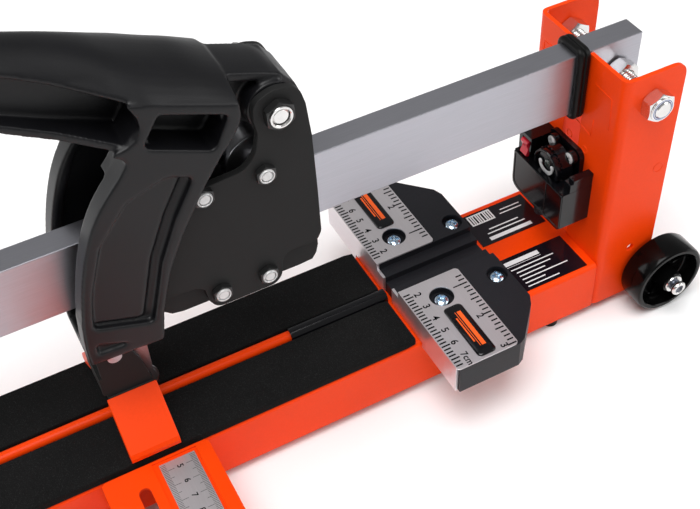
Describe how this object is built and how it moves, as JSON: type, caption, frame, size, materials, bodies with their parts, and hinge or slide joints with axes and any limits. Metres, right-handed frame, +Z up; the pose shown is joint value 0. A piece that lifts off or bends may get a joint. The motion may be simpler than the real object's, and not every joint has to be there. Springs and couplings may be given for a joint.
{
  "type": "tile cutter",
  "caption": "Manual tile cutter: flat base with foam bed, raised guide bar, lever carriage with scoring wheel and breaking foot, fence with scales, line laser, fold-out side arms.",
  "frame": {"origin": "centre of the bounding box at floor level, under the rubber feet", "axes": "+X along the guide bar towards the fence and laser, +Y across to the far side arm, +Z up"},
  "size_m": [1.0874, 0.382, 0.348],
  "materials": {
    "powder_orange": "gloss orange powder coat",
    "coat_black": "matte black coat on steel sheet",
    "cast_black": "satin black coat on die-cast aluminium",
    "foam": "fine-grained foam",
    "rubber_black": "matte",
    "bar_aluminium": "brushed along its length",
    "plate_aluminium": "fine brushed, printed scale",
    "plastic_black": "fine-grained moulding",
    "label_black": "printed film",
    "red_plastic": "gloss",
    "nylon_blue": "nylon",
    "zinc": "bright zinc plate",
    "black_steel": "blackened",
    "steel": "machined"
  },
  "bodies": {
    "base": {"base_channel": "powder_orange", "breaking_ridge": "powder_orange", "ridge_sleeve": "plastic_black", "pad_near": "foam", "pad_far": "foam", "base_labels": "label_black", "base_feet": "rubber_black", "guide_bar": "bar_aluminium", "tower_front": "powder_orange", "tower_rear": "powder_orange", "rail_bumpers": "rubber_black", "clamp_studs": "zinc", "clamp_nuts": "zinc", "clamp_locknuts": "zinc", "locknut_rings": "nylon_blue", "fence_body": "plastic_black", "scale_plate_near": "plate_aluminium", "scale_plate_far": "plate_aluminium", "fence_badges": "label_black", "fence_screws": "zinc", "laser_housing": "plastic_black", "laser_screws": "zinc", "wheel_axles": "zinc", "wheel_nuts": "zinc", "arm_brackets": "powder_orange", "arm_pins": "zinc"},
    "laser_head": {"laser_turret": "plastic_black", "laser_lens": "zinc"},
    "laser_switch": {"laser_switch": "red_plastic"},
    "laser_knob": {"laser_knob": "plastic_black"},
    "wheel_near": {"wheel_near": "rubber_black"},
    "wheel_far": {"wheel_far": "rubber_black"},
    "arm_near": {"arm_near": "powder_orange", "arm_ruler_near": "plate_aluminium"},
    "arm_far": {"arm_far": "powder_orange", "arm_ruler_far": "plate_aluminium"},
    "stop_near": {"stop_near": "steel"},
    "stop_far": {"stop_far": "steel"},
    "stop_knob_near": {"stop_knob_near": "plastic_black"},
    "stop_knob_far": {"stop_knob_far": "plastic_black"},
    "carriage": {"carriage_plate_near": "coat_black", "carriage_plate_far": "coat_black", "lower_block": "cast_black", "axle_bolts": "zinc", "axle_nuts": "black_steel", "axle_spacers": "steel", "pivot_bolt": "zinc", "pivot_nut": "black_steel"},
    "roller_upper_front": {"roller_upper_front": "steel"},
    "roller_upper_rear": {"roller_upper_rear": "steel"},
    "roller_lower_front": {"roller_lower_front": "steel"},
    "roller_lower_rear": {"roller_lower_rear": "steel"},
    "handle": {"handle_body": "cast_black", "handle_grip": "rubber_black", "wheel_holder": "steel", "wheel_axle": "steel"},
    "scoring_wheel": {"scoring_wheel": "steel"},
    "foot": {"foot_bracket": "coat_black", "foot_covers": "powder_orange", "foot_pin": "steel"}
  },
  "joints": [
    {"name": "carriage_slide", "type": "slide", "parent": "base", "child": "carriage", "axis": [1, 0, 0], "range_m": [-0.655, 0.141]},
    {"name": "handle_lift", "type": "hinge", "parent": "carriage", "child": "handle", "pos_m": [0.29175, 0, 0.2235], "axis": [0, 1, 0], "range_deg": [0, 9]},
    {"name": "scoring_wheel_spin", "type": "hinge", "parent": "handle", "child": "scoring_wheel", "pos_m": [0.20375, 0, 0.0625], "axis": [0, 1, 0], "continuous": true},
    {"name": "foot_swing", "type": "hinge", "parent": "handle", "child": "foot", "pos_m": [0.19285, 0, 0.1033], "axis": [0, 1, 0], "range_deg": [-3, 4]},
    {"name": "roller_upper_front_spin", "type": "hinge", "parent": "carriage", "child": "roller_upper_front", "pos_m": [0.28205, 0, 0.1915], "axis": [0, 1, 0], "continuous": true},
    {"name": "roller_upper_rear_spin", "type": "hinge", "parent": "carriage", "child": "roller_upper_rear", "pos_m": [0.25065, 0, 0.1915], "axis": [0, 1, 0], "continuous": true},
    {"name": "roller_lower_front_spin", "type": "hinge", "parent": "carriage", "child": "roller_lower_front", "pos_m": [0.27695, 0, 0.1294], "axis": [0, 1, 0], "continuous": true},
    {"name": "roller_lower_rear_spin", "type": "hinge", "parent": "carriage", "child": "roller_lower_rear", "pos_m": [0.25155, 0, 0.1294], "axis": [0, 1, 0], "continuous": true},
    {"name": "wheel_near_spin", "type": "hinge", "parent": "base", "child": "wheel_near", "pos_m": [0.51975, -0.05, 0.025], "axis": [0, 1, 0], "continuous": true},
    {"name": "arm_near_fold", "type": "hinge", "parent": "base", "child": "arm_near", "pos_m": [0.17125, -0.053, 0.0285], "axis": [0, 0, 1], "range_deg": [-90, 0]},
    {"name": "stop_near_slide", "type": "slide", "parent": "arm_near", "child": "stop_near", "axis": [0, -1, 0], "range_m": [-0.08, 0.016]},
    {"name": "stop_knob_near_turn", "type": "hinge", "parent": "stop_near", "child": "stop_knob_near", "pos_m": [0.1825, -0.16, 0.0535], "axis": [0, 0, 1], "continuous": true},
    {"name": "wheel_far_spin", "type": "hinge", "parent": "base", "child": "wheel_far", "pos_m": [0.51975, 0.05, 0.025], "axis": [0, 1, 0], "continuous": true},
    {"name": "arm_far_fold", "type": "hinge", "parent": "base", "child": "arm_far", "pos_m": [-0.24875, 0.053, 0.0285], "axis": [0, 0, 1], "range_deg": [0, 90]},
    {"name": "stop_far_slide", "type": "slide", "parent": "arm_far", "child": "stop_far", "axis": [0, 1, 0], "range_m": [-0.08, 0.016]},
    {"name": "stop_knob_far_turn", "type": "hinge", "parent": "stop_far", "child": "stop_knob_far", "pos_m": [-0.2375, 0.16, 0.0535], "axis": [0, 0, 1], "continuous": true},
    {"name": "laser_tilt", "type": "hinge", "parent": "base", "child": "laser_head", "pos_m": [0.46375, -0.0015, 0.0995], "axis": [1, 0, 0], "range_deg": [-20, 20]},
    {"name": "laser_switch_rock", "type": "hinge", "parent": "base", "child": "laser_switch", "pos_m": [0.46155, 0.01775, 0.1015], "axis": [0, 1, 0], "range_deg": [-8, 8]},
    {"name": "laser_knob_turn", "type": "hinge", "parent": "base", "child": "laser_knob", "pos_m": [0.46225, 0, 0.0685], "axis": [0, 0, 1], "continuous": true}
  ]
}
